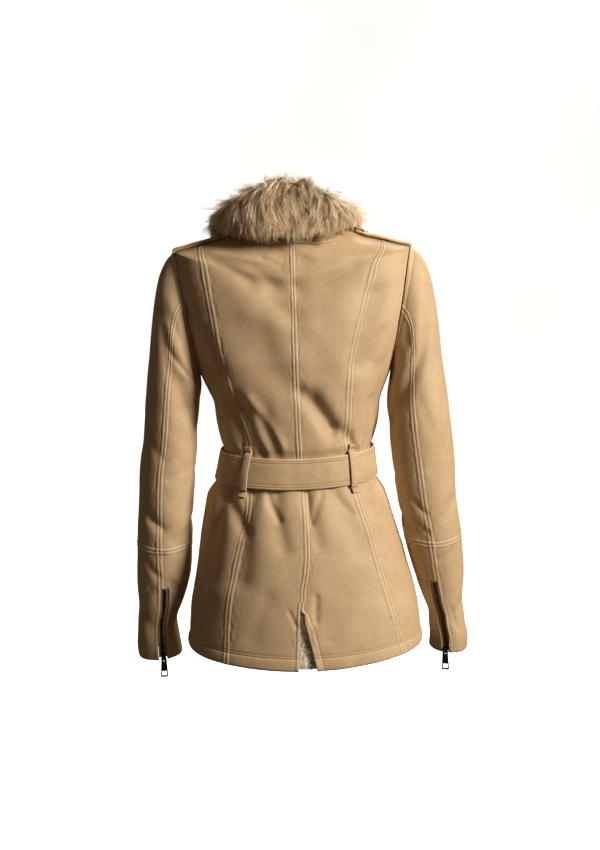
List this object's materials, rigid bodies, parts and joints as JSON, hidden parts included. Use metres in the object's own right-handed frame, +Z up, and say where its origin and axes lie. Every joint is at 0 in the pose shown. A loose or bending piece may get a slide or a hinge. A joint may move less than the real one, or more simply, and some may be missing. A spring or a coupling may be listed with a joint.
{
  "type": "shearling coat",
  "caption": "Hip-length shearling coat with a shaggy fur collar, belted waist, shoulder straps, zipped cuffs and a back vent, hollow and filled out as if worn.",
  "frame": {"origin": "middle of the neck opening, level with the back collar seam, where the wearer's shoulders hold the coat up", "axes": "+Z up, the front faces -Y, the wearer's left is +X"},
  "size_m": [0.5489, 0.2564, 0.8125],
  "materials": {
    "shearling": "smooth napped hide",
    "wool": "matte clipped wool",
    "fur": "long shaggy fur",
    "metal": "dark antique",
    "tape": "woven zip tape"
  },
  "bodies": {
    "coat": {"front_left": "shearling", "back_centre_left": "shearling", "back_side_left": "shearling", "sleeve_upper_outer_left": "shearling", "sleeve_upper_inner_left": "shearling", "sleeve_lower_outer_left": "shearling", "sleeve_lower_inner_left": "shearling", "shoulder_strap_left": "shearling", "belt_loop_left": "shearling", "strap_snap_left": "metal", "cuff_zip_left": "tape", "cuff_left_slider": "metal", "front_right": "shearling", "back_centre_right": "shearling", "back_side_right": "shearling", "sleeve_upper_outer_right": "shearling", "sleeve_upper_inner_right": "shearling", "sleeve_lower_outer_right": "shearling", "sleeve_lower_inner_right": "shearling", "shoulder_strap_right": "shearling", "belt_loop_right": "shearling", "strap_snap_right": "metal", "cuff_zip_right": "tape", "cuff_right_slider": "metal", "front_zip": "tape", "front_slider": "metal", "belt": "shearling", "belt_buckle": "metal", "vent_underlap": "wool", "fur_collar": "fur"},
    "cuff_pull_left": {"cuff_left_pull": "metal"},
    "cuff_pull_right": {"cuff_right_pull": "metal"},
    "front_pull": {"front_pull": "metal"}
  },
  "joints": [
    {"name": "cuff_pull_left_hinge", "type": "hinge", "parent": "coat", "child": "cuff_pull_left", "pos_m": [0.22855, 0.00918, -0.68204], "axis": [0.9652, 0.2616, 0], "range_deg": [0, 165]},
    {"name": "cuff_pull_right_hinge", "type": "hinge", "parent": "coat", "child": "cuff_pull_right", "pos_m": [-0.2337, 0.00886, -0.682], "axis": [0.9462, -0.3237, 0], "range_deg": [0, 165]},
    {"name": "front_pull_hinge", "type": "hinge", "parent": "coat", "child": "front_pull", "pos_m": [0, -0.09671, -0.11906], "axis": [-1, 0, 0], "range_deg": [0, 165]}
  ]
}
